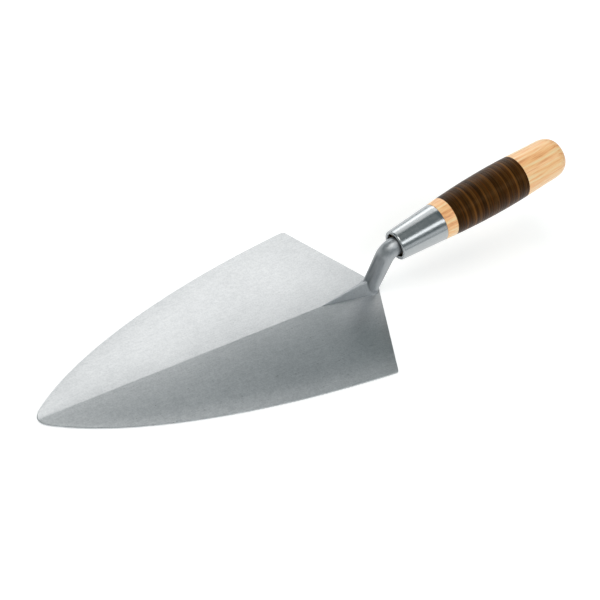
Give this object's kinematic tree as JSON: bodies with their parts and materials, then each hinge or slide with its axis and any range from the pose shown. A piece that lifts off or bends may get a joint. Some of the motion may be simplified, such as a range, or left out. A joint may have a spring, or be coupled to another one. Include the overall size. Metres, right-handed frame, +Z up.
{
  "type": "brick trowel",
  "caption": "Leaf-shaped steel masonry trowel with a cranked shank, a tapered steel ferrule and a turned wooden handle gripped by a stack of leather rings.",
  "frame": {"origin": "on the blade's flat underside, straight below the upright part of the shank", "axes": "+X from the blade's tip to the butt of the handle, +Y across the blade, +Z up from the blade's underside towards the handle"},
  "size_m": [0.4227, 0.1392, 0.0982],
  "materials": {
    "blade_steel": "fine satin grind",
    "shank_steel": "satin forged",
    "ferrule_steel": "turned and polished",
    "wood": "satin lacquer",
    "leather_dark": "waxed, satin",
    "leather_mid": "waxed, satin",
    "leather_warm": "waxed, satin"
  },
  "bodies": {
    "root": {"blade": "blade_steel", "shank": "shank_steel", "ferrule": "ferrule_steel", "front_block": "wood", "butt_block": "wood", "leather_ring_01": "leather_dark", "leather_ring_02": "leather_mid", "leather_ring_03": "leather_dark", "leather_ring_04": "leather_warm", "leather_ring_05": "leather_dark", "leather_ring_06": "leather_mid", "leather_ring_07": "leather_warm", "leather_ring_08": "leather_dark", "leather_ring_09": "leather_mid", "leather_ring_10": "leather_dark", "leather_ring_11": "leather_dark", "leather_ring_12": "leather_warm", "leather_ring_13": "leather_mid", "leather_ring_14": "leather_dark", "leather_ring_15": "leather_mid", "leather_ring_16": "leather_warm", "leather_ring_17": "leather_dark", "leather_ring_18": "leather_mid", "leather_ring_19": "leather_dark", "leather_ring_20": "leather_warm", "leather_ring_21": "leather_dark", "leather_ring_22": "leather_mid", "leather_ring_23": "leather_dark", "leather_ring_24": "leather_warm", "leather_ring_25": "leather_mid", "leather_ring_26": "leather_dark", "leather_ring_27": "leather_mid", "leather_ring_28": "leather_dark"}
  },
  "joints": []
}
